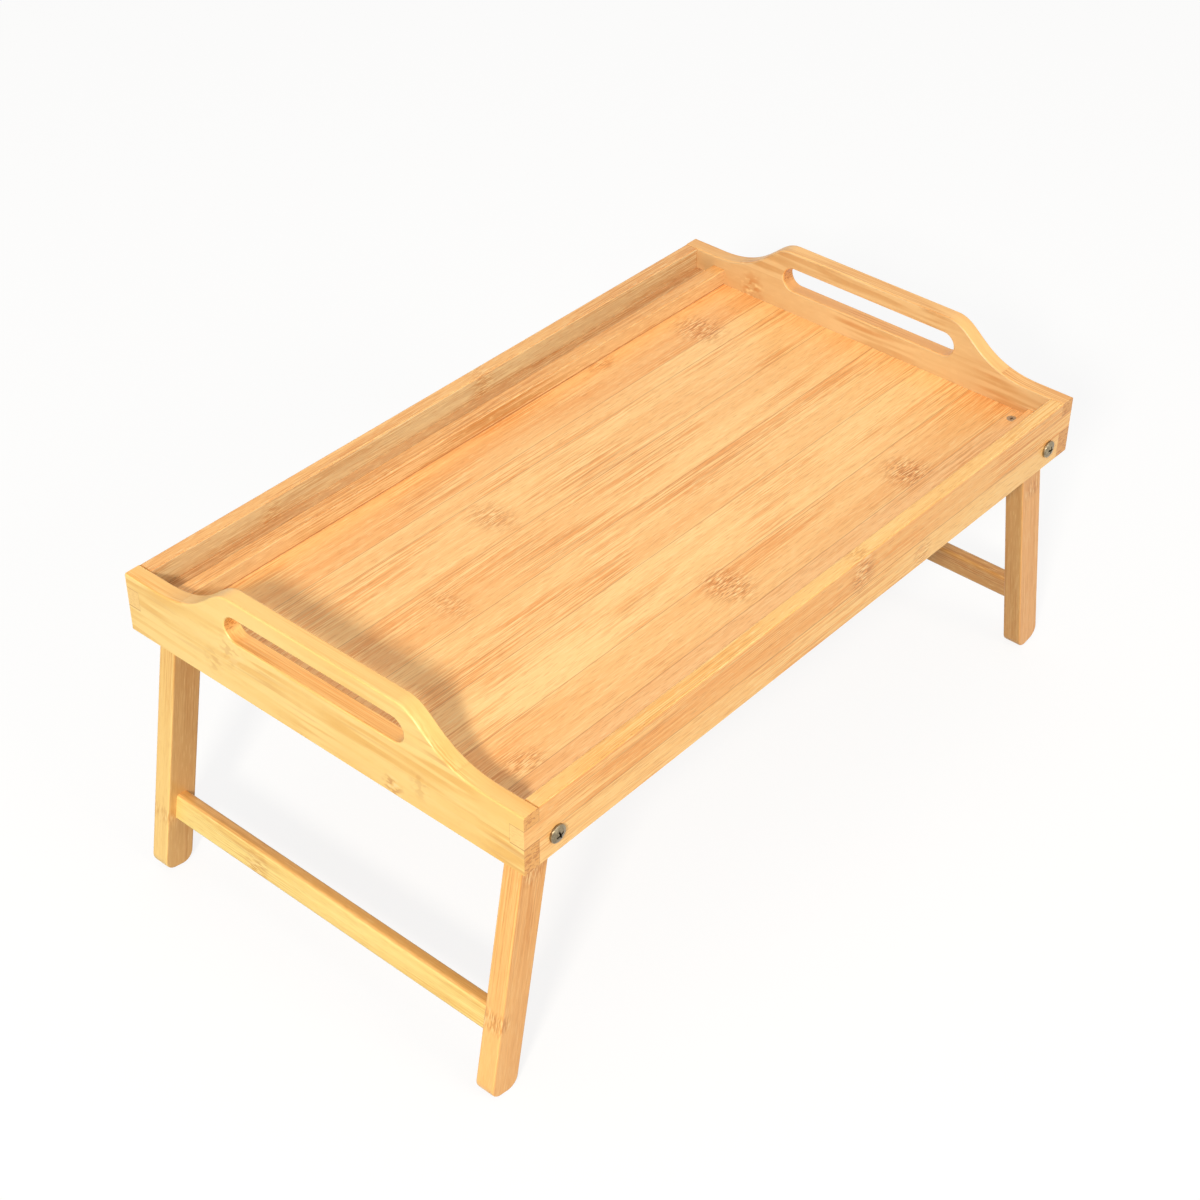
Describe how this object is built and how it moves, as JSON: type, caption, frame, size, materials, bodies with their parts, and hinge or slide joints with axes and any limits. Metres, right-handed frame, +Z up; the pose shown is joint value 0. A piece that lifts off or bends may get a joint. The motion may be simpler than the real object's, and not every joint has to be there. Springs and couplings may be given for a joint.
{
  "type": "bed tray table",
  "caption": "Rectangular bamboo bed tray with raised handle ends, a slot along the back rail and splayed leg frames that fold flat beneath it.",
  "frame": {"origin": "middle of the footprint, at the height of the feet with the legs open", "axes": "+X along the tray towards its right end, +Y towards the back rail with the slot, +Z up"},
  "size_m": [0.5344, 0.304, 0.23],
  "materials": {
    "bamboo_ends": "clear satin lacquer",
    "bamboo_rails": "clear satin lacquer",
    "bamboo_floor": "clear satin lacquer",
    "bamboo_legs": "clear satin lacquer",
    "dark_steel": "dark burnished",
    "plated_steel": "zinc plated",
    "nylon": "natural"
  },
  "bodies": {
    "tray": {"end_board_left": "bamboo_ends", "end_board_right": "bamboo_ends", "rail_back": "bamboo_rails", "rail_front": "bamboo_rails", "floor_panel": "bamboo_floor", "channel_strip_back": "bamboo_floor", "channel_strip_front": "bamboo_floor", "lip_back": "bamboo_rails", "cleat_left": "bamboo_legs", "cleat_right": "bamboo_legs", "pivot_bolts": "dark_steel", "pivot_nuts": "plated_steel", "pivot_washers": "nylon", "strip_screws": "dark_steel"},
    "leg_frame_left": {"leg_left_back": "bamboo_legs", "leg_left_front": "bamboo_legs", "stretcher_left": "bamboo_legs"},
    "leg_frame_right": {"leg_right_back": "bamboo_legs", "leg_right_front": "bamboo_legs", "stretcher_right": "bamboo_legs"}
  },
  "joints": [
    {"name": "left_legs_fold", "type": "hinge", "parent": "tray", "child": "leg_frame_left", "pos_m": [-0.22626, 0, 0.1776], "axis": [0, -1, 0], "range_deg": [0, 100.3]},
    {"name": "right_legs_fold", "type": "hinge", "parent": "tray", "child": "leg_frame_right", "pos_m": [0.22626, 0, 0.1776], "axis": [0, 1, 0], "range_deg": [0, 100.3]}
  ]
}
